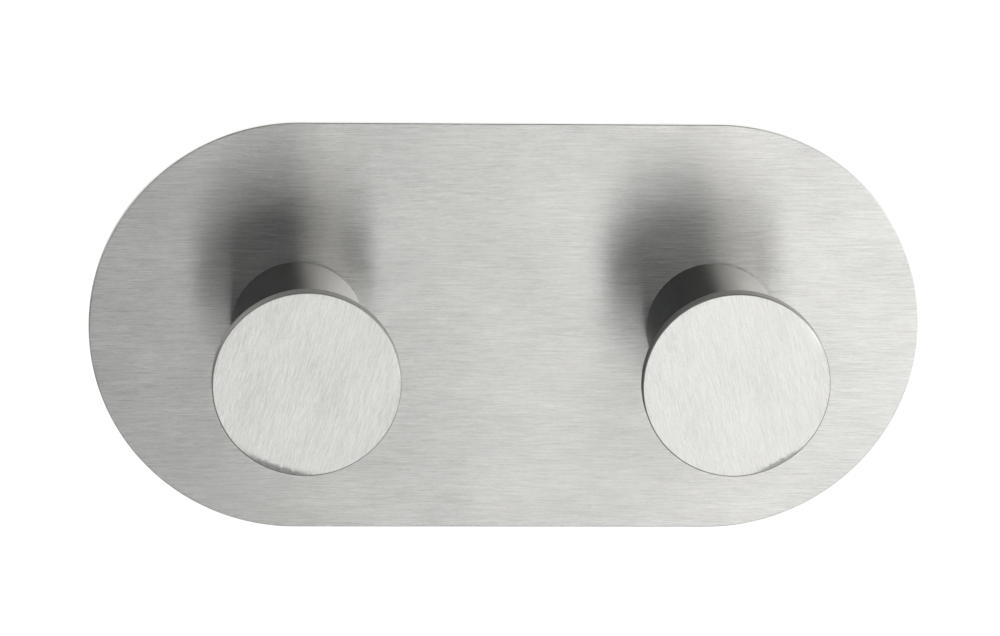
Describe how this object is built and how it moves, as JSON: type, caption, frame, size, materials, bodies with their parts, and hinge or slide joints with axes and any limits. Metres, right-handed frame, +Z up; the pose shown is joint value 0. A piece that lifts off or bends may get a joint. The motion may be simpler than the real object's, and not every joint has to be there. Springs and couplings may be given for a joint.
{
  "type": "wall hook rack",
  "caption": "Wall rack: a brushed steel plate with rounded ends carries straight round pegs, each with a wide flat disc on its end that stops a towel or garment from sliding off.",
  "frame": {"origin": "on the wall, midway between the two pegs, at the centre of the pad's rear face", "axes": "+X along the plate, +Z up, +Y into the wall; the pegs point to -Y"},
  "size_m": [0.1, 0.0522, 0.05],
  "materials": {
    "plate_steel": "long horizontal brushed grain, satin",
    "head_steel": "straight brushed grain, nearly upright, satin",
    "stem_steel": "fine turned grain round the stem, satin",
    "plain_steel": "machined, unpolished",
    "screw_zinc": "bright zinc plate",
    "ring_nylon": "natural nylon",
    "pad_foam": "fine closed-cell foam rubber"
  },
  "bodies": {
    "rack": {"wall_pad": "pad_foam", "back_plate": "plate_steel", "left_fixing_boss": "plain_steel", "left_wall_screw": "screw_zinc", "right_fixing_boss": "plain_steel", "right_wall_screw": "screw_zinc"},
    "left_ring": {"left_friction_ring": "ring_nylon"},
    "left_peg": {"left_peg_stem": "stem_steel", "left_head_disc": "head_steel", "left_head_stud": "plain_steel"},
    "right_ring": {"right_friction_ring": "ring_nylon"},
    "right_peg": {"right_peg_stem": "stem_steel", "right_head_disc": "head_steel", "right_head_stud": "plain_steel"}
  },
  "joints": [
    {"name": "left_peg_travel", "type": "slide", "parent": "rack", "child": "left_ring", "axis": [0, -1, 0], "range_m": [0, 0.01]},
    {"name": "left_peg_turn", "type": "hinge", "parent": "left_ring", "child": "left_peg", "pos_m": [-0.025, -0.002, 0], "axis": [0, -1, 0], "range_deg": [0, 3600]},
    {"name": "right_peg_travel", "type": "slide", "parent": "rack", "child": "right_ring", "axis": [0, -1, 0], "range_m": [0, 0.01]},
    {"name": "right_peg_turn", "type": "hinge", "parent": "right_ring", "child": "right_peg", "pos_m": [0.025, -0.002, 0], "axis": [0, -1, 0], "range_deg": [0, 3600]}
  ],
  "couplings": [
    {"joint": "left_peg_travel", "follows": "left_peg_turn", "m_per_rad": 0.00015915},
    {"joint": "right_peg_travel", "follows": "right_peg_turn", "m_per_rad": 0.00015915}
  ]
}
